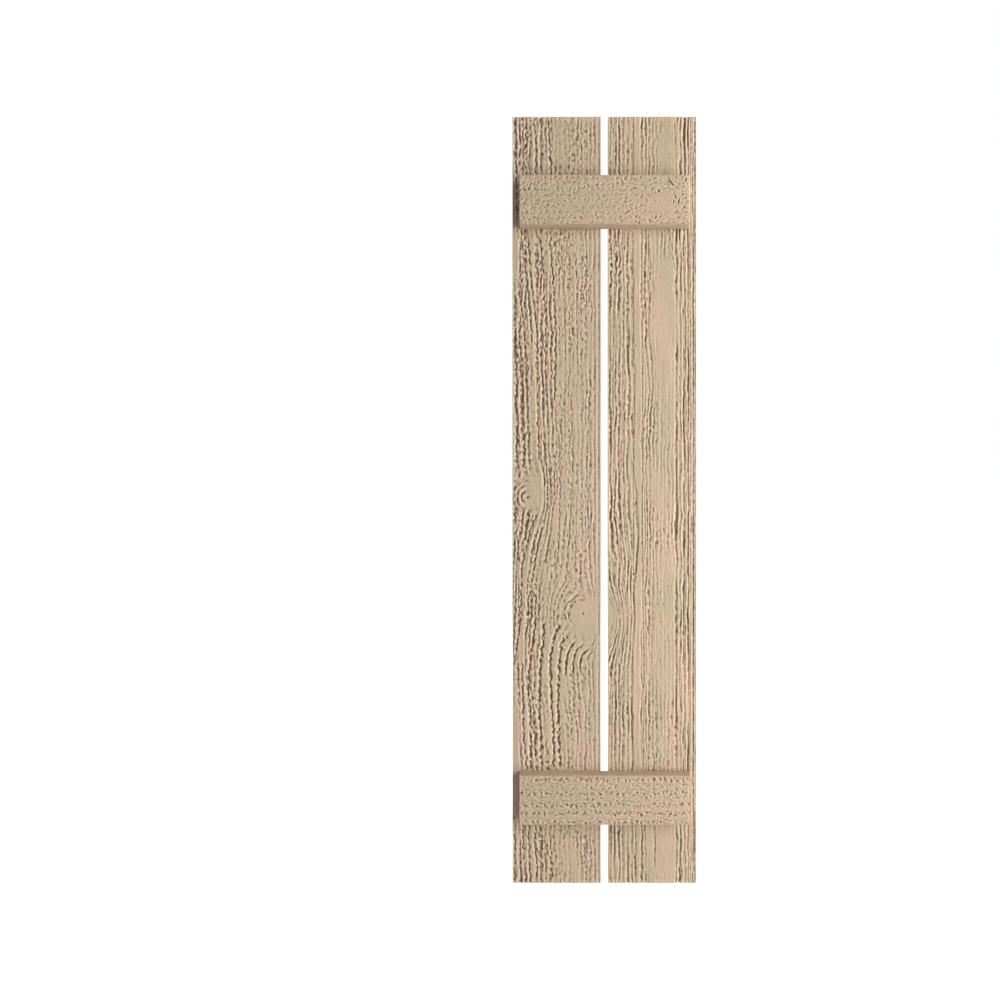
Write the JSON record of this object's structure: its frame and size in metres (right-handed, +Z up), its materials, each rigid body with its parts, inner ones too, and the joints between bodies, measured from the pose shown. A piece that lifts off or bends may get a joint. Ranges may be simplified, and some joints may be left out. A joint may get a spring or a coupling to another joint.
{
  "type": "board and batten shutter",
  "caption": "Tall exterior window shutter of spaced upright rough-sawn boards tied by short battens across their faces, screwed together from behind.",
  "frame": {"origin": "middle of the left board's flat back, which lies against the wall", "axes": "+X to the right seen from the front, +Y back into the wall, +Z up along the boards; the battens are on the -Y side"},
  "size_m": [0.2921, 0.038, 1.2192],
  "materials": {
    "primed_wood": "matt tan primer on rough-sawn wood with deep open grain",
    "screw_steel": "zinc plated, satin"
  },
  "bodies": {
    "root": {"left_board": "primed_wood", "right_board": "primed_wood", "top_batten": "primed_wood", "bottom_batten": "primed_wood", "top_left_outer_screw": "screw_steel", "top_left_inner_screw": "screw_steel", "top_right_outer_screw": "screw_steel", "top_right_inner_screw": "screw_steel", "bottom_left_outer_screw": "screw_steel", "bottom_left_inner_screw": "screw_steel", "bottom_right_outer_screw": "screw_steel", "bottom_right_inner_screw": "screw_steel"}
  },
  "joints": []
}
